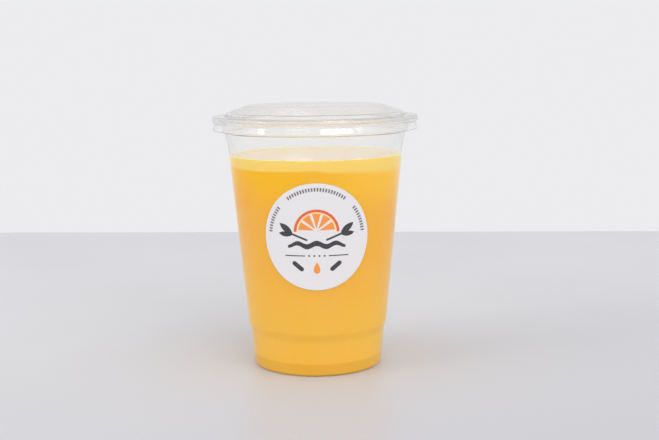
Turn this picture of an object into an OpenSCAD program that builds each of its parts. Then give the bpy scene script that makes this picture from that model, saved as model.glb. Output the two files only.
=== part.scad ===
// Disposable clear cup of orange juice, closed by a clear lid that clips over
// its rim, with a round sticker on its wall. The origin is the centre of the
// foot, on the surface that the cup stands on. The sticker faces -Y.

/* [Cup] */
// Height from the table to the top of the rim
cup_h = 122.5; // [100:0.5:160]
// Outer diameter of the wall where it meets the heel
foot_d = 63.2; // [52:0.2:76]
// Outer diameter of the rolled rim
rim_d = 98; // [84:0.5:118]
// Thickness of the cup's plastic
wall_t = 0.4; // [0.3:0.05:0.6]

/* [Foot] */
// Outside radius of the heel
heel_r = 1.6; // [1.2:0.1:2.4]
// Width of the flat ring that the cup stands on
foot_flat_w = 0.6; // [0.4:0.1:1.5]
// Height of the raised floor's top above the table
floor_z = 5; // [3.5:0.1:8]

/* [Stacking step] */
// Height of the step's lower edge
step_z = 16.5; // [12:0.5:24]
// Height over which the wall steps out
step_h = 5.5; // [3:0.5:8]
// How far the wall steps out there, beyond its own taper
step_w = 0.85; // [0.4:0.05:1.5]

/* [Neck and rim] */
// Height of the straight neck, from its ledge to the top of the rim
neck_h = 7.3; // [6:0.1:12]
// Width of the ledge that the neck stands on
ledge_w = 0.9; // [0.5:0.1:1.4]
// Height over which the wall flares out under the ledge
flare_h = 9.2; // [5:0.2:14]
// How far the wall flares out there, beyond its own taper
flare_w = 1.1; // [0.5:0.1:1.8]
// How far the rolled rim stands out from the neck
bead_w = 3.7; // [3.2:0.1:4.4]
// Height of the rolled rim
bead_h = 2; // [1.6:0.1:2.6]

/* [Juice] */
// Free height between the juice's surface and the top of the rim
headspace = 18.5; // [8:0.5:40]

/* [Lid] */
// Thickness of the lid's plastic
lid_t = 0.4; // [0.3:0.05:0.6]
// Gap between the rolled rim and the lid's skirt
skirt_gap = 0.6; // [0.3:0.1:1]
// Gap between the cup's neck and the ring of the lid that plugs it
plug_gap = 0.2; // [0.1:0.05:0.5]
// Height of the lid's skirt
skirt_h = 6.4; // [5:0.1:9]
// How far the skirt is pinched in under the rolled rim
snap_w = 0.9; // [0.6:0.1:1.2]
// How deep the plug ring goes below the rim
plug_h = 2.4; // [1.5:0.1:4]
// Width of the groove inside the plug ring
groove_w = 1.1; // [0.9:0.1:2]
// Diameter of the lid's flat raised middle
deck_d = 66; // [50:1:72]
// Height of the raised middle above the lid's flange
deck_h = 5; // [3:0.1:9]
// Height of the slope's outer end above the lid's flange
slope_end_h = 1.4; // [0.8:0.1:2.4]

/* [Sticker] */
// Diameter of the sticker, measured along the wall
label_d = 50.8; // [30:0.1:62]
// Thickness of the sticker
label_t = 0.15; // [0.1:0.05:0.3]
// How far its centre is above the middle of the plain wall
label_rise = 4.5; // [-6:0.1:6]

/* [Hidden] */

$fn = 128;
arc_steps = 5;        // segments in each rounded corner of a profile
curve_steps = 8;      // segments in the step and in the flare
outline_steps = 96;   // segments round the sticker

rim_r = rim_d / 2;
foot_r = foot_d / 2;
neck_r = rim_r - bead_w;                        // outside of the neck
ledge_z = cup_h - neck_h;
flare_z = ledge_z - flare_h;
step_top_z = step_z + step_h;
juice_z = cup_h - headspace;

// Rounding of the profile's corners, measured on the side of the juice
heel_in_r = heel_r - wall_t;
floor_edge_r = 0.8;
channel_r = 0.5;
lip_r = 0.7;
ledge_r = 0.25;
bead_r = bead_h / 2;
bead_tail_w = 1.8;                              // rolled-in stretch under the rim

// Radius of the wall's outside: a straight taper, plus the step and the flare
wall_top_r = neck_r - ledge_w - flare_w;
taper = (wall_top_r - foot_r - step_w) / (ledge_z - heel_r);
function eased(z, from, height) = 1 - cos(90 * min(1, max(0, (z - from) / height)));
function s_curve(z, from, height) = (1 - cos(180 * min(1, max(0, (z - from) / height)))) / 2;
function wall_r(z) = foot_r + taper * (z - heel_r)
    + step_w * s_curve(z, step_z, step_h)
    + flare_w * eased(z, flare_z, flare_h);

// A profile is a list of [radius, height, rounding], and has its corners
// rounded with arcs
function unit(v) = v / norm(v);
function spot(p) = [p[0], p[1]];
function heading(v) = atan2(v[1], v[0]);
function turn(from, to) = (to - from + 540) % 360 - 180;
function arc(centre, r, from, to) =
    [for (i = [0 : arc_steps]) let (a = from + turn(from, to) * i / arc_steps) centre + r * [cos(a), sin(a)]];
function corner(before, here, after, r) =
    let (
        u = unit(before - here),
        v = unit(after - here),
        half = acos(u * v) / 2,
        run = r / tan(half),
        centre = here + unit(u + v) * r / sin(half)
    )
    arc(centre, r, heading(here + u * run - centre), heading(here + v * run - centre));
function is_plain(p, i) = i == 0 || i == len(p) - 1 || p[i][2] == 0;
function rounded(p) = [
    for (i = [0 : len(p) - 1])
        each is_plain(p, i) ? [spot(p[i])] : corner(spot(p[i - 1]), spot(p[i]), spot(p[i + 1]), p[i][2])
];

// The same path moved to its right-hand side by t, with mitred corners
function right_of(v) = [v[1], -v[0]];
function side(p, i) = unit(right_of(p[i + 1] - p[i]));
function mitre(a, b) = (a + b) / (1 + a * b);
function shifted(p, t) = [
    for (i = [0 : len(p) - 1])
        p[i] + t * mitre(side(p, max(0, i - 1)), side(p, min(len(p) - 2, i)))
];
function reversed(p) = [for (i = [len(p) - 1 : -1 : 0]) p[i]];
module sheet(p, t) rotate_extrude() polygon(concat(p, reversed(shifted(p, t))));

// The juice's side of the cup, from the middle of the floor over the rim and
// down its outside. The plastic lies on this path's right-hand side.
function skin_at(z) = [wall_r(z) - wall_t, z, 0];
channel_in_r = foot_r - heel_r - foot_flat_w - channel_r;
skin = rounded(concat(
    [
        [0, floor_z, 0],
        [channel_in_r, floor_z, floor_edge_r],
        [channel_in_r, wall_t, channel_r],
        [foot_r - wall_t, wall_t, heel_in_r],
        skin_at(step_z)
    ],
    [for (i = [1 : curve_steps]) skin_at(step_z + step_h * i / curve_steps)],
    [for (i = [0 : curve_steps]) skin_at(flare_z + flare_h * i / curve_steps)],
    [
        [neck_r - wall_t, ledge_z, ledge_r],
        [neck_r - wall_t, cup_h, lip_r],
        [rim_r, cup_h, bead_r * 0.999],
        [rim_r, cup_h - bead_h, bead_r * 0.999],
        [rim_r - bead_r - bead_tail_w, cup_h - bead_h, 0]
    ]
));
outside = shifted(skin, wall_t);

// Radius of the cup's inside, or outside, at a height on the wall
function radius_on(path, z) = lookup(z, [for (p = path) if (p[0] > foot_r - heel_r && p[1] < ledge_z) [p[1], p[0]]]);

module cup() {
    color("white", 0.3) sheet(skin, wall_t);
}

module juice() {
    filled = [for (p = skin) if (p[1] < juice_z) p];
    color("orange")
        rotate_extrude()
            polygon(concat(filled, [[radius_on(skin, juice_z), juice_z], [0, juice_z]]));
}

// The lid's top, from its middle to the skirt's lower edge. It seats on the
// rim, plugs the neck and snaps under the rolled rim.
flange_z = cup_h + lid_t;
skirt_r = rim_r + skirt_gap + lid_t;
skirt_low_z = flange_z - skirt_h;
snap_z = cup_h - bead_h - snap_w - lid_t;
plug_r = neck_r - wall_t - plug_gap;
groove_out_r = plug_r - lid_t;
groove_in_r = groove_out_r - groove_w;
flange_r = 0.9;                                 // rounding of the flange's outer edge
deck_edge_r = 3;
groove_r = 0.35;
lid_top = rounded([
    [0, flange_z + deck_h, 0],
    [deck_d / 2, flange_z + deck_h, deck_edge_r],
    [groove_in_r, flange_z + slope_end_h, groove_r + lid_t],
    [groove_in_r, cup_h - plug_h + lid_t, groove_r],
    [groove_out_r, cup_h - plug_h + lid_t, groove_r],
    [groove_out_r, flange_z, groove_r + lid_t],
    [skirt_r, flange_z, flange_r],
    [skirt_r, snap_z + snap_w, 0.5],
    [skirt_r - snap_w, snap_z, 0.5],
    [skirt_r, skirt_low_z, 0]
]);

module lid() {
    color("white", 0.3) sheet(lid_top, lid_t);
}

// A disc wrapped round the plain wall: its outline is a circle when the wall
// is unrolled
label_z = (step_top_z + flare_z) / 2 + label_rise;
wall_slope = atan(taper);
function wrapped(a) =
    let (
        z = label_z + label_d / 2 * sin(a) * cos(wall_slope),
        r = radius_on(outside, z)
    )
    [r * sin(label_d / 2 * cos(a) / r * 180 / PI), z];

module label() {
    low_z = label_z - label_d / 2;
    high_z = label_z + label_d / 2;
    low = [radius_on(outside, low_z), low_z];
    high = [radius_on(outside, high_z), high_z];
    color("whitesmoke") intersection() {
        rotate_extrude() polygon([low, low + [label_t, 0], high + [label_t, 0], high]);
        rotate([90, 0, 0])
            linear_extrude(height = rim_r)
                polygon([for (i = [0 : outline_steps - 1]) wrapped(360 * i / outline_steps)]);
    }
}

cup();
juice();
label();
lid();
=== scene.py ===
"""Looks of a clear takeaway cup of orange juice with a clear lid and a round sticker.

The cup, the juice, the sticker and the lid replace their plain solids with finer meshes on
the same profiles. The origin is the centre of the foot, and the sticker faces -Y. Meshes are
made in millimetres and turn into metres in new_piece. The stage, the lights, the camera and
what material nodes compare are in metres.
"""
import math

import bmesh
import bpy
from mathutils import Matrix, Vector


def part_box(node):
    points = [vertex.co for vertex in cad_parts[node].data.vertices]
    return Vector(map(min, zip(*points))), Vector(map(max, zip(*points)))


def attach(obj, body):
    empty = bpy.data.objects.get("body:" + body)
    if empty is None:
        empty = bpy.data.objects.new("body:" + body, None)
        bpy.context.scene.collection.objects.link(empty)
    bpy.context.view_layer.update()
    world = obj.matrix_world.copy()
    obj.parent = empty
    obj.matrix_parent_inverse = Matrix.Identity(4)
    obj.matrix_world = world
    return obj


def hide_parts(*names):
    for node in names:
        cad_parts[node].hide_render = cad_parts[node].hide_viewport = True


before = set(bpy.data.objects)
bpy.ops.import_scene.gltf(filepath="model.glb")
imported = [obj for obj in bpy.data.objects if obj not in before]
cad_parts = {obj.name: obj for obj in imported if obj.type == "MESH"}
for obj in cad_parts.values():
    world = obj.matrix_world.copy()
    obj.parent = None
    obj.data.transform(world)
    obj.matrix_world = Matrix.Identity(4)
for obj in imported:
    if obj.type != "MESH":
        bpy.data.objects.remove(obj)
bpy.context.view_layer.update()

MM = 0.001


def top_of(node):
    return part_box(node)[1].z / MM


def radius_of(node):
    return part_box(node)[1].x / MM


# ---------------------------------------------------------------- sizes
CUP_H = top_of("cup")
RIM_R = radius_of("cup")
JUICE_Z = top_of("juice")
LID_TOP_Z = top_of("lid")
SKIRT_R = radius_of("lid")
SKIRT_LOW_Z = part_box("lid")[0].z / MM

WALL_T = 0.4
FOOT_R = 31.6
HEEL_R = 1.6                        # rounding of the heel's outside
FOOT_FLAT_W = 0.6
FLOOR_Z = 5.0
FLOOR_EDGE_R = 0.8
STEP_Z, STEP_H, STEP_W = 16.5, 5.5, 0.85
NECK_H = 7.3
LEDGE_W = 0.9
LEDGE_UNDER_R, LEDGE_R = 0.5, 0.25  # roundings below and above the ledge
FLARE_H, FLARE_W = 9.2, 1.1
LIP_R = 0.7                         # rounding from the neck into the rim
BEAD_W, BEAD_H = 3.7, 2.0
BEAD_R = BEAD_H / 2 * 0.999         # a little under half, so that two arcs fit the bead
BEAD_TAIL_W = 1.8

LID_T = 0.4
LID_CLEARANCE = 0.06                # air under the lid, so that it shares no face with the rim
PLUG_GAP = 0.2
PLUG_H = 2.4
GROOVE_W, GROOVE_R = 1.1, 0.35
SNAP_W, SNAP_R = 0.9, 0.5
FLANGE_R = 0.9
DECK_R, DECK_EDGE_R = 33.0, 3.0
SLOPE_END_H = 1.4

LABEL_D = 50.8
LABEL_T = 0.15
LABEL_RISE = 4.5
LABEL_SINK = 0.02                   # how far the sticker's back is sunk into the wall
PRINT_LIFT = 0.015                  # how far the ink is above the paper

INTO_WALL = 0.15                    # how far the juice reaches into the wall
CLIMB, CLIMB_W = 0.7, 2.2           # the juice's meniscus

NECK_R = RIM_R - BEAD_W
LEDGE_Z = CUP_H - NECK_H
FLARE_Z = LEDGE_Z - FLARE_H
WALL_TOP_R = NECK_R - LEDGE_W - FLARE_W
TAPER = (WALL_TOP_R - FOOT_R - STEP_W) / (LEDGE_Z - HEEL_R)
CHANNEL_R = 0.5
CHANNEL_IN_R = FOOT_R - HEEL_R - FOOT_FLAT_W - CHANNEL_R
LABEL_Z = (STEP_Z + STEP_H + FLARE_Z) / 2 + LABEL_RISE

ROUND_STEPS = 216                   # segments round the cup
ARC_STEPS = 6                       # segments in each rounded corner of a profile
CURVE_STEPS = 12                    # segments in the step and in the flare
SHARP_ANGLE = math.radians(50)      # edges sharper than this aren't shaded smooth


def share(z, start, height):
    """How far z is up a stretch of the wall, from 0 to 1."""
    return min(1.0, max(0.0, (z - start) / height))


def wall_r(z):
    """Radius of the plain wall's outside: a straight taper, plus the step and the flare."""
    step = (1 - math.cos(math.pi * share(z, STEP_Z, STEP_H))) / 2
    flare = 1 - math.cos(math.pi / 2 * share(z, FLARE_Z, FLARE_H))
    return FOOT_R + TAPER * (z - HEEL_R) + STEP_W * step + FLARE_W * flare


# ---------------------------------------------------------------- profiles
def rounded(path):
    """A path of (radius, height, rounding) as points, with its corners rounded by arcs."""
    points = []
    for i, (r, z, rounding) in enumerate(path):
        here = Vector((r, z))
        if i in (0, len(path) - 1) or not rounding:
            points.append(here)
            continue
        u = (Vector(path[i - 1][:2]) - here).normalized()
        v = (Vector(path[i + 1][:2]) - here).normalized()
        half = math.acos(max(-1.0, min(1.0, u.dot(v)))) / 2
        centre = here + (u + v).normalized() * (rounding / math.sin(half))
        start = here + u * (rounding / math.tan(half)) - centre
        end = here + v * (rounding / math.tan(half)) - centre
        sweep = start.angle_signed(end)
        for k in range(ARC_STEPS + 1):
            turn = Matrix.Rotation(-sweep * k / ARC_STEPS, 2)
            points.append(centre + turn @ start)
    return points


def shifted(points, t):
    """The same path moved to its right-hand side by t, with mitred corners."""
    sides = []
    for a, b in zip(points, points[1:]):
        along = (b - a).normalized()
        sides.append(Vector((along.y, -along.x)))
    moved = []
    for i, p in enumerate(points):
        before, after = sides[max(0, i - 1)], sides[min(len(sides) - 1, i)]
        moved.append(p + (before + after) * (t / (1 + before.dot(after))))
    return moved


def with_supports(points, longest=0.5, support=0.12):
    """Adds a point near each end of a long straight stretch, so that its shading stays flat."""
    out = [points[0]]
    for a, b in zip(points, points[1:]):
        length = (b - a).length
        if length > longest:
            out += [a.lerp(b, support / length), a.lerp(b, 1 - support / length)]
        out.append(b)
    return out


def skin():
    """The juice's side of the cup, from the floor's middle over the rim and down its outside."""
    step = [STEP_Z + STEP_H * i / CURVE_STEPS for i in range(CURVE_STEPS + 1)]
    flare = [FLARE_Z + FLARE_H * i / CURVE_STEPS for i in range(CURVE_STEPS)]
    return rounded([
        (0, FLOOR_Z, 0),
        (CHANNEL_IN_R, FLOOR_Z, FLOOR_EDGE_R),
        (CHANNEL_IN_R, WALL_T, CHANNEL_R),
        (FOOT_R - WALL_T, WALL_T, HEEL_R - WALL_T),
        *[(wall_r(z) - WALL_T, z, 0) for z in step + flare],
        (wall_r(LEDGE_Z) - WALL_T, LEDGE_Z, LEDGE_UNDER_R),
        (NECK_R - WALL_T, LEDGE_Z, LEDGE_R),
        (NECK_R - WALL_T, CUP_H, LIP_R),
        (RIM_R, CUP_H, BEAD_R),
        (RIM_R, CUP_H - BEAD_H, BEAD_R),
        (RIM_R - BEAD_H / 2 - BEAD_TAIL_W, CUP_H - BEAD_H, 0),
    ])


def lid_top():
    """The lid's top, from its middle to the skirt's lower edge."""
    flange_z = CUP_H + LID_T
    snap_z = CUP_H - BEAD_H - SNAP_W - LID_T
    groove_z = CUP_H - PLUG_H + LID_T
    groove_out_r = NECK_R - WALL_T - PLUG_GAP - LID_T
    groove_in_r = groove_out_r - GROOVE_W
    return rounded([
        (0, LID_TOP_Z, 0),
        (DECK_R, LID_TOP_Z, DECK_EDGE_R),
        (groove_in_r, flange_z + SLOPE_END_H, GROOVE_R + LID_T),
        (groove_in_r, groove_z, GROOVE_R),
        (groove_out_r, groove_z, GROOVE_R),
        (groove_out_r, flange_z, GROOVE_R + LID_T),
        (SKIRT_R, flange_z, FLANGE_R),
        (SKIRT_R, snap_z + SNAP_W, SNAP_R),
        (SKIRT_R - SNAP_W, snap_z, SNAP_R),
        (SKIRT_R, SKIRT_LOW_Z, 0),
    ])


def sheet(points, t):
    """The outline of a wall of thickness t on the right-hand side of a path. Its end is round."""
    path = with_supports(points)
    far = shifted(path, t)
    middle = (path[-1] + far[-1]) / 2
    start = path[-1] - middle
    end = [middle + Matrix.Rotation(math.radians(-180 * k / ARC_STEPS), 2) @ start
           for k in range(1, ARC_STEPS)]
    return path + end + far[::-1]


# ---------------------------------------------------------------- meshes
def new_piece(name, bm, material, node=None):
    """A piece on the one body, from a mesh in millimetres."""
    mesh = bpy.data.meshes.new(name)
    bmesh.ops.recalc_face_normals(bm, faces=bm.faces)
    bm.to_mesh(mesh)
    bm.free()
    mesh.transform(Matrix.Scale(MM, 4))
    mesh.polygons.foreach_set("use_smooth", [True] * len(mesh.polygons))
    mesh.set_sharp_from_angle(angle=SHARP_ANGLE)
    mesh.materials.append(material)
    piece = bpy.data.objects.new(name, mesh)
    bpy.context.scene.collection.objects.link(piece)
    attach(piece, "root")
    if node:
        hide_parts(node)
    return piece


def lathe(outline):
    """A closed solid of revolution. A point of the outline on the axis becomes one vertex."""
    on_axis = 1e-6
    bm = bmesh.new()
    rings = []
    for r, z in outline:
        if r < on_axis:
            rings.append([bm.verts.new((0, 0, z))] * ROUND_STEPS)
            continue
        angles = (2 * math.pi * k / ROUND_STEPS for k in range(ROUND_STEPS))
        rings.append([bm.verts.new((r * math.cos(a), r * math.sin(a), z)) for a in angles])
    for low_floor_light, high in zip(rings, rings[1:] + rings[:1]):
        for k in range(ROUND_STEPS):
            corners = list(dict.fromkeys([low_floor_light[k], low_floor_light[k - 1], high[k - 1], high[k]]))
            if len(corners) > 2:
                bm.faces.new(corners)
    return bm


# ---------------------------------------------------------------- node helpers
class Tree:
    """The node tree of a material or world, with short calls for the nodes used here."""

    def __init__(self, owner, shader="Principled BSDF"):
        owner.use_nodes = True
        self.owner = owner
        self.tree = owner.node_tree
        self.shader = self.tree.nodes[shader]

    def node(self, kind, **values):
        made = self.tree.nodes.new("ShaderNode" + kind)
        for key, value in values.items():
            setattr(made, key, value)
        return made

    def set(self, **values):
        for key, value in values.items():
            self.plug(self.shader.inputs[key.replace("_", " ")], value)

    def plug(self, socket, value):
        if isinstance(value, bpy.types.NodeSocket):
            self.tree.links.new(value, socket)
        else:
            socket.default_value = value

    def place(self, coordinates="Object"):
        return self.node("TexCoord").outputs[coordinates]

    def split(self, vector):
        made = self.node("SeparateXYZ")
        self.plug(made.inputs[0], vector)
        return made.outputs[:]

    def noise(self, vector, size_mm, detail=3.0, distortion=0.0):
        made = self.node("TexNoise")
        self.plug(made.inputs["Vector"], vector)
        made.inputs["Scale"].default_value = 1 / (size_mm * MM)
        made.inputs["Detail"].default_value = detail
        made.inputs["Distortion"].default_value = distortion
        return made.outputs["Fac"]

    def maths(self, operation, a, b=None):
        made = self.node("Math", operation=operation)
        self.plug(made.inputs[0], a)
        if b is not None:
            self.plug(made.inputs[1], b)
        return made.outputs[0]

    def ranged(self, value, from_min, from_max, to_min=0.0, to_max=1.0, smooth=False):
        made = self.node("MapRange", interpolation_type="SMOOTHSTEP" if smooth else "LINEAR")
        numbers = (value, from_min, from_max, to_min, to_max)
        for socket, number in zip(made.inputs, numbers):
            self.plug(socket, number)
        return made.outputs[0]

    def mixed(self, share_of_b, a, b):
        made = self.node("Mix", data_type="RGBA")
        self.plug(made.inputs["Factor"], share_of_b)
        self.plug(made.inputs[6], a)
        self.plug(made.inputs[7], b)
        return made.outputs[2]

    def bump(self, height, distance_mm, strength):
        made = self.node("Bump")
        self.plug(made.inputs["Height"], height)
        made.inputs["Distance"].default_value = distance_mm * MM
        made.inputs["Strength"].default_value = strength
        return made.outputs["Normal"]

    def let_light_through(self):
        """Lamps and soft light from other surfaces pass a clear wall, neither bent nor lost."""
        path = self.node("LightPath")
        clear = self.node("BsdfTransparent")
        surface = self.shader.outputs[0]
        for kind in ("Is Shadow Ray", "Is Diffuse Ray"):
            mix = self.node("MixShader")
            self.plug(mix.inputs[0], path.outputs[kind])
            self.plug(mix.inputs[1], surface)
            self.plug(mix.inputs[2], clear.outputs[0])
            surface = mix.outputs[0]
        self.plug(self.tree.nodes["Material Output"].inputs["Surface"], surface)


def material_tree(name):
    return Tree(bpy.data.materials.new(name))


def rgb(red, green, blue):
    """A colour as shown, 0 to 255 each, in the linear values that shaders take."""
    def linear(c):
        c /= 255
        return c / 12.92 if c <= 0.04045 else ((c + 0.055) / 1.055) ** 2.4
    return (linear(red), linear(green), linear(blue), 1.0)


# ---------------------------------------------------------------- materials
def clear_plastic(name, draw_mm, tint):
    """Thermoformed clear plastic: faint draw marks down the wall and a slightly uneven gloss."""
    m = material_tree(name)
    place = m.place()
    stretch = m.node("Mapping")
    m.plug(stretch.inputs["Vector"], place)
    stretch.inputs["Scale"].default_value = (1, 1, 0.25)
    marks = m.noise(stretch.outputs[0], draw_mm)
    gloss = m.noise(place, 18.0)
    m.set(
        Base_Color=tint,
        Roughness=m.ranged(gloss, 0.3, 0.7, 0.07, 0.12),
        IOR=1.4,
        Transmission_Weight=1.0,
        Normal=m.bump(marks, 0.05, 0.12),
    )
    m.let_light_through()
    return m.owner


def orange_juice(m, body, pulp, relief, gloss):
    """Finishes a juice material: fine bright pulp in a cloudy, wet body."""
    m.set(
        Base_Color=body,
        Roughness=m.ranged(pulp, 0.3, 0.8, 0.06, 0.14),
        IOR=1.34,
        Specular_IOR_Level=gloss,
        Subsurface_Weight=0.6,
        Subsurface_Scale=0.003,
        Subsurface_Radius=(1.0, 0.55, 0.15),
        Normal=relief,
    )
    return m.owner


def pulp_and_grain(m, place):
    pulp = m.noise(place, 0.9)
    return pulp, m.ranged(pulp, 0.35, 0.75, 0.0, 0.15)


PULP_COLOUR = rgb(255, 205, 90)


def juice_side():
    """The juice behind the wall, which gives it no gloss of its own. From its surface down it has
    pale froth, a clear yellow zone that reaches deepest at -X, the duller body, and the foot.
    The yellow top and the duller, more orange depth are painted light and shade, as if light
    came in through the surface. The paler low part is painted light from the floor, the darker
    foot is painted shade, and the paler side towards +X is a painted reflection."""
    m = material_tree("juice_side")
    place = m.place()
    east, _, height = m.split(place)
    clouds = m.noise(place, 22.0, distortion=0.3)
    pulp, grain = pulp_and_grain(m, place)

    depth = m.maths("SUBTRACT", JUICE_Z * MM, height)
    uneven_depth = m.maths("ADD", depth, m.ranged(clouds, 0.3, 0.7, -0.0004, 0.0004))
    west = m.ranged(east, -0.032, -0.025, 1.0, 0.0, smooth=True)
    west_low = m.maths("MULTIPLY", west, m.ranged(depth, 0.008, 0.021))
    deep_start = m.ranged(west, 0.0, 1.0, 0.010, 0.021)
    # painted shade: below its lit yellow top the juice turns duller and more orange
    deep_shade = m.ranged(uneven_depth, deep_start, 0.028, smooth=True)
    # painted light: the low part of the juice is paler, as if lit from the floor
    low_floor_light = m.ranged(height, 0.025, 0.060, 1.0, 0.0, smooth=True)
    # painted shade: a darker amber band at the foot, where shadow falls under the cup
    foot_shade = m.ranged(height, 0.0058, 0.0066, 1.0, 0.0, smooth=True)
    froth_end = m.ranged(east, 0.0, 0.03, 0.0058, 0.0090)
    froth = m.ranged(uneven_depth, 0.0043, froth_end, 1.0, 0.0, smooth=True)
    east_reflection = m.ranged(east, -0.01, 0.03, smooth=True)
    cloudy = m.ranged(clouds, 0.35, 0.65, 0.0, 0.22)

    # painted reflection: the juice turns paler towards +X, as if the wall reflected brighter
    # surroundings there
    body = m.mixed(east_reflection, rgb(254, 187, 0), rgb(255, 195, 58))
    for part, colour in (
        (west_low, rgb(250, 170, 0)),
        (deep_shade, rgb(244, 178, 60)),
        (low_floor_light, rgb(244, 190, 68)),
        (foot_shade, rgb(231, 175, 54)),
        (cloudy, rgb(243, 192, 92)),
        (grain, PULP_COLOUR),
        (froth, rgb(247, 213, 112)),
    ):
        body = m.mixed(part, body, colour)
    return orange_juice(m, body, pulp, m.bump(pulp, 0.1, 0.3), gloss=0.0)


def juice_surface():
    """The open surface: glossy, with thin drifts of foam and small bubbles along the wall."""
    m = material_tree("juice_surface")
    place = m.place()
    east, north, _ = m.split(place)
    pulp, grain = pulp_and_grain(m, place)

    bubble_mm = 1.5
    bubbles = m.node("TexVoronoi")
    m.plug(bubbles.inputs["Vector"], place)
    bubbles.inputs["Scale"].default_value = 1 / (bubble_mm * MM)
    ridges = m.ranged(bubbles.outputs["Distance"], 0.25, 0.6, smooth=True)
    foam = m.ranged(m.noise(place, 9.0, detail=4.0, distortion=0.6), 0.45, 0.7, smooth=True)
    radius = m.maths("SQRT", m.maths("ADD", *[m.maths("POWER", v, 2.0) for v in (east, north)]))
    uneven_radius = m.maths("ADD", radius, m.ranged(foam, 0.0, 1.0, -0.002, 0.003))
    by_wall = m.ranged(uneven_radius, 0.0365, 0.0405)
    to_back_left = m.ranged(m.maths("SUBTRACT", north, east), 0.0, 0.05, smooth=True)

    body = m.mixed(to_back_left, rgb(226, 199, 145), rgb(227, 196, 112))
    body = m.mixed(m.maths("MULTIPLY", foam, 0.6), body, rgb(234, 212, 162))
    body = m.mixed(grain, body, PULP_COLOUR)
    body = m.mixed(m.maths("MULTIPLY", ridges, by_wall), body, rgb(237, 220, 178))
    height = m.maths("MULTIPLY", ridges, m.ranged(by_wall, 0.0, 1.0, 0.1, 1.0))
    return orange_juice(m, body, pulp, m.bump(height, 0.25, 0.5), gloss=0.5)


def coated_paper():
    m = material_tree("coated_paper")
    place = m.place()
    fibres = m.noise(place, 0.35, detail=4.0)
    waves = m.noise(place, 9.0, detail=2.0)
    m.set(
        Base_Color=m.mixed(m.ranged(fibres, 0.3, 0.7), rgb(229, 226, 227), rgb(234, 231, 232)),
        Roughness=m.ranged(waves, 0.3, 0.7, 0.38, 0.5),
        Normal=m.bump(fibres, 0.02, 0.3),
    )
    return m.owner


def ink(name, colour):
    """Printed ink: a little uneven, as a digital print is."""
    m = material_tree(name)
    speckle = m.noise(m.place(), 0.25)
    paler = tuple(c + (1 - c) * 0.12 for c in colour[:3]) + (1.0,)
    m.set(
        Base_Color=m.mixed(m.ranged(speckle, 0.45, 0.75), colour, paler),
        Roughness=m.ranged(speckle, 0.3, 0.7, 0.36, 0.46),
    )
    return m.owner


# ---------------------------------------------------------------- pieces
def build_cup():
    plastic = clear_plastic("cup_plastic", 2.5, (0.995, 0.99, 0.977, 1))
    new_piece("cup_shell", lathe(sheet(skin(), WALL_T)), plastic, "cup")


def build_lid():
    plastic = clear_plastic("lid_plastic", 3.5, (1.0, 0.997, 0.988, 1))
    outline = sheet(lid_top(), LID_T - LID_CLEARANCE)
    new_piece("lid_shell", lathe(outline), plastic, "lid")


def build_juice():
    """The juice fills the cup and reaches into its wall. It climbs the wall in a small meniscus."""
    inside = [p for p in shifted(skin(), INTO_WALL) if p.y < JUICE_Z - CLIMB]
    edge_r = wall_r(JUICE_Z) - WALL_T + INTO_WALL
    steps, decay = 10, 3.2
    surface = []
    for k in range(steps + 1):
        away = CLIMB_W * k / steps
        lift = CLIMB * math.exp(-decay * away / CLIMB_W)
        surface.append(Vector((edge_r - away, JUICE_Z - CLIMB * 0.6 + lift * 0.6)))
    rest = [Vector((r, surface[-1].y)) for r in (34.0, 26.0, 18.0, 10.0, 4.0, 0.0)]
    outline = with_supports(inside) + surface + rest

    piece = new_piece("juice_body", lathe(outline), juice_side(), "juice")
    piece.data.materials.append(juice_surface())
    faces_up = 0.2
    for face in piece.data.polygons:
        if face.normal.z > faces_up and face.center.z > (JUICE_Z - CLIMB) * MM:
            face.material_index = 1


def on_wall(u, v, lift):
    """A point of the unrolled sticker, u round the wall and v up its slope from the centre."""
    z = LABEL_Z + v * math.cos(math.atan(TAPER))
    r = wall_r(z)
    turn = u / r
    return Vector(((r + lift) * math.sin(turn), -(r + lift) * math.cos(turn), z))


def wrap(bm, lift):
    """Bends a flat mesh in the plane of u and v onto the wall."""
    for vert in bm.verts:
        vert.co = on_wall(vert.co.x, vert.co.y, lift + vert.co.z)


def sliced(bm, step=1.0):
    """Cuts a mesh on the unrolled wall into strips, narrow enough to follow the wall's curve."""
    u = -LABEL_D / 2
    while u < LABEL_D / 2:
        geometry = bm.verts[:] + bm.edges[:] + bm.faces[:]
        bmesh.ops.bisect_plane(bm, geom=geometry, plane_co=(u, 0, 0), plane_no=(1, 0, 0))
        u += step


def add_outline(bm, points):
    bm.faces.new([bm.verts.new((x, y, 0)) for x, y in points])


def build_label():
    """The sticker's paper: a disc on the wall, its back sunk a little into the plastic's face."""
    steps, radius = 144, LABEL_D / 2
    turns = [2 * math.pi * k / steps for k in range(steps)]
    bm = bmesh.new()
    back, front = ([bm.verts.new((radius * math.cos(a), radius * math.sin(a), z)) for a in turns]
                   for z in (0, LABEL_T + LABEL_SINK))
    bm.faces.new(back)
    bm.faces.new(front)
    for k in range(steps):
        bm.faces.new((back[k - 1], back[k], front[k], front[k - 1]))
    sliced(bm)
    wrap(bm, -LABEL_SINK)
    new_piece("label_paper", bm, coated_paper(), "label")


# ---------------------------------------------------------------- print on the sticker
def turned(points, degrees, to):
    a = math.radians(degrees)
    return [(x * math.cos(a) - y * math.sin(a) + to[0], x * math.sin(a) + y * math.cos(a) + to[1])
            for x, y in points]


def moved(points, to):
    return turned(points, 0, to)


def mirrored(points):
    return [(-x, y) for x, y in reversed(points)]


def on_circle(centre, radius, degrees):
    a = math.radians(degrees)
    return (centre[0] + radius * math.cos(a), centre[1] + radius * math.sin(a))


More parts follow.
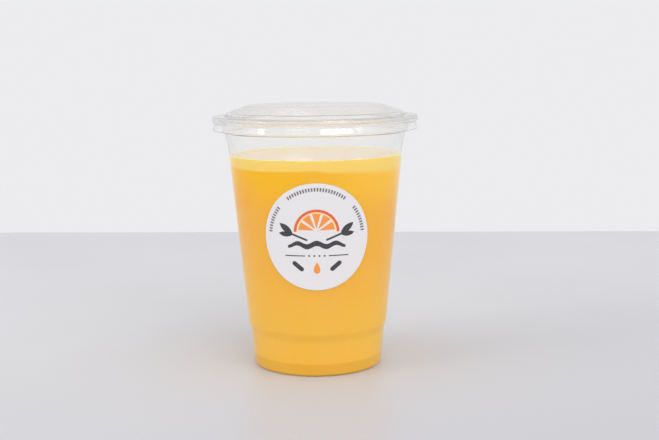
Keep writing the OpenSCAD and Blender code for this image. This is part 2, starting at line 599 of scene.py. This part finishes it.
def arc_band(centre, inner, outer, start, end, steps=None):
    """A band between two arcs, or a wedge of a disc with a round side where inner is 0."""
    steps = steps or max(3, round(abs(end - start) / 4))
    turns = [start + (end - start) * k / steps for k in range(steps + 1)]
    far = [on_circle(centre, outer, a) for a in turns]
    near = [on_circle(centre, inner, a) for a in reversed(turns)] if inner else [tuple(centre)]
    return far + near


def bar(length, width, steps=6):
    """A bar along x with round ends."""
    half, r = (length - width) / 2, width / 2
    ends = []
    for side in (1, -1):
        for k in range(steps + 1):
            a = math.radians(-90 + 180 * k / steps)
            ends.append((side * (half + r * math.cos(a)), side * r * math.sin(a)))
    return ends


def leaf(length, width, steps=10):
    """A leaf along x from the origin, pointed at both ends."""
    upper = [(length * k / steps, width / 2 * math.sin(math.pi * k / steps) ** 0.8)
             for k in range(steps + 1)]
    lower = [(x, -y) for x, y in reversed(upper[1:-1])]
    return upper + lower


def drop(width, height, steps=16):
    """A drop, pointed at its top."""
    points = []
    for k in range(steps):
        a = 2 * math.pi * k / steps
        x = width / 2 * math.sin(a) * math.sin(a / 2) ** 1.2
        points.append((x, height / 2 * math.cos(a)))
    return points


def wave(length, thickness, height, humps, steps=72):
    """A wavy band along x, the same on both sides of its middle and thinner at its ends."""
    upper, lower = [], []
    for k in range(steps + 1):
        along = k / steps - 0.5
        x, y = length * along, height * math.cos(2 * math.pi * humps * along)
        half = thickness / 2 * math.sin(math.pi * (0.04 + 0.92 * k / steps)) ** 0.35
        upper.append((x, y + half))
        lower.append((x, y - half))
    return upper + lower[::-1]


def orange_slice():
    """Half a slice of orange, flat side down: its rind, pith and sectors of flesh."""
    at = (0.0, 2.6)
    rind_r, pith_r, flesh_r = 10.6, 9.3, 8.5
    sectors, gap, inset, rise = 5, 5.0, 1.1, 0.35
    wide = 180 / sectors
    flesh = []
    for i in range(sectors):
        tip = on_circle((at[0], at[1] + rise), inset, wide * (i + 0.5))
        start, end = wide * i + gap / 2, wide * (i + 1) - gap / 2
        flesh.append(arc_band(tip, 0, flesh_r - inset, start, end))
    return arc_band(at, pith_r, rind_r, 0, 180), arc_band(at, flesh_r, pith_r, 0, 180), flesh


def motif():
    """The print, as outlines for each ink: a slice of orange over a wave, and small marks."""
    rind, pith, flesh = orange_slice()
    line_y, dots = -8.8, (-3.6, -1.2, 1.2, 3.6)
    dark = [moved(wave(27.0, 2.6, 0.8, 3), (0, -3.6))]
    for piece in (
        turned(leaf(8.0, 3.0), 38, (11.2, 1.6)),
        turned(leaf(6.4, 2.4), 8, (11.6, 1.0)),
        turned(bar(8.4, 0.9), 22, (8.2, 0.2)),
        moved(bar(9.5, 0.5), (10.2, line_y)),
        turned(bar(6.5, 2.1), 40, (8.8, -13.8)),
    ):
        dark += [piece, mirrored(piece)]
    dark += [moved(bar(0.9, 0.9), (x, line_y)) for x in dots]

    ring_r, tall, pitch, wide = 21.6, 1.7, 3.4, 1.9
    grey = []
    for k in [*range(11), *range(15, 25)]:
        start = 90 - (k + 0.5) * pitch - wide / 2
        mark = arc_band((0, 0), ring_r, ring_r + tall, start, start + wide, steps=3)
        grey += [mark, mirrored(mark)]
    return {
        "print_rind": (rgb(229, 96, 44), [rind]),
        "print_flesh": (rgb(246, 148, 52), flesh + [moved(drop(4.2, 5.6), (0, -14.6))]),
        "print_pith": (rgb(251, 222, 170), [pith]),
        "print_dark": (rgb(46, 43, 46), dark),
        "print_grey": (rgb(104, 101, 106), grey),
    }


def build_print():
    for name, (colour, outlines) in motif().items():
        bm = bmesh.new()
        for points in outlines:
            add_outline(bm, points)
        bmesh.ops.triangulate(bm, faces=bm.faces[:])
        sliced(bm)
        wrap(bm, LABEL_T + PRINT_LIFT)
        new_piece(name, bm, ink(name + "_ink", colour))


# ---------------------------------------------------------------- stage, lights and camera
def build_stage():
    """A plain pale floor, which ends at a straight edge behind the cup."""
    far, near, wide = 0.408, -3.0, 3.0
    bm = bmesh.new()
    add_outline(bm, ((-wide, near), (wide, near), (wide, far), (-wide, far)))
    mesh = bpy.data.meshes.new("floor")
    bm.to_mesh(mesh)
    bm.free()
    floor = bpy.data.objects.new("floor", mesh)
    bpy.context.scene.collection.objects.link(floor)

    m = material_tree("pale_floor")
    place = m.place()
    east, north, _ = m.split(place)
    tone = m.noise(place, 120.0)
    to_near_right = m.maths("SUBTRACT", east, m.maths("MULTIPLY", north, 1.5))
    pale = m.mixed(m.ranged(tone, 0.3, 0.7), rgb(202, 202, 205), rgb(206, 206, 209))
    m.set(
        Base_Color=m.mixed(m.ranged(to_near_right, -0.2, 0.35), pale, rgb(189, 189, 194)),
        Roughness=0.35,
        Specular_IOR_Level=0.2,
    )
    mesh.materials.append(m.owner)
    floor.rotation_euler.z = math.radians(-4.3)


def build_world():
    """Plain pale surroundings, of nearly one brightness from the camera's side to the back."""
    world = bpy.data.worlds.new("studio")
    bpy.context.scene.world = world
    m = Tree(world, "Background")
    _, towards_back, _ = m.split(m.place("Generated"))
    fade = m.ranged(towards_back, -0.5, 0.45, smooth=True)
    m.set(Color=m.mixed(fade, (0.85, 0.85, 0.86, 1), rgb(236, 236, 238)))


def add_light(name, azimuth, elevation, distance, width, height, radiance, seen=True):
    """A soft box facing the cup. Azimuth 0 is on the camera's side, 90 on the side of +X; its
    width and height are in degrees, as seen from the cup."""
    data = bpy.data.lights.new(name, "AREA")
    data.shape = "RECTANGLE"
    data.size = 2 * distance * math.tan(math.radians(width / 2))
    data.size_y = 2 * distance * math.tan(math.radians(height / 2))
    data.energy = radiance * math.pi * data.size * data.size_y
    light = bpy.data.objects.new(name, data)
    a, e = math.radians(azimuth), math.radians(elevation)
    away = Vector((math.sin(a) * math.cos(e), -math.cos(a) * math.cos(e), math.sin(e)))
    middle_of_cup = Vector((0, 0, 0.06))
    light.location = middle_of_cup + away * distance
    light.rotation_euler = away.to_track_quat("Z", "Y").to_euler()
    light.visible_glossy = light.visible_transmission = seen
    bpy.context.scene.collection.objects.link(light)


def build_lights():
    """A window of four panes at the camera's right, a pane at its left, and two soft boxes that
    no gloss shows."""
    panes = ((7, 12.5), (15, 26), (29.5, 36), (39.5, 43))
    for k, (start, end) in enumerate(panes):
        add_light(f"window_{k}", (start + end) / 2, 34.5, 3.0, end - start, 13, 7.0)
    add_light("side_window", -65, 28, 3.0, 6.7, 13, 7.0)
    add_light("key", 58, 38, 2.2, 32, 32, 1.55, seen=False)
    add_light("fill", -72, 28, 2.2, 40, 30, 1.6, seen=False)


def build_camera():
    data = bpy.data.cameras.new("camera")
    data.lens, data.sensor_width = 59.4, 36.0
    data.clip_start, data.clip_end = 0.01, 50
    camera = bpy.data.objects.new("camera", data)
    tilt, yaw, roll = 8.393, -0.696, -0.684
    turn = (Matrix.Rotation(math.radians(yaw), 4, "Z")
            @ Matrix.Rotation(math.radians(90 - tilt), 4, "X")
            @ Matrix.Rotation(math.radians(roll), 4, "Z"))
    camera.matrix_world = Matrix.Translation((0, -0.532, 0.1493)) @ turn
    bpy.context.scene.collection.objects.link(camera)
    bpy.context.scene.camera = camera


build_camera()
build_world()
build_lights()
build_stage()
build_cup()
build_lid()
build_juice()
build_label()
build_print()

# Bounces enough for light to cross all the clear walls of the lid and the rim
scene = bpy.context.scene
scene.view_settings.view_transform = "Standard"
scene.cycles.max_bounces = 32
scene.cycles.transmission_bounces = 32
scene.cycles.glossy_bounces = 12
scene.cycles.transparent_max_bounces = 48
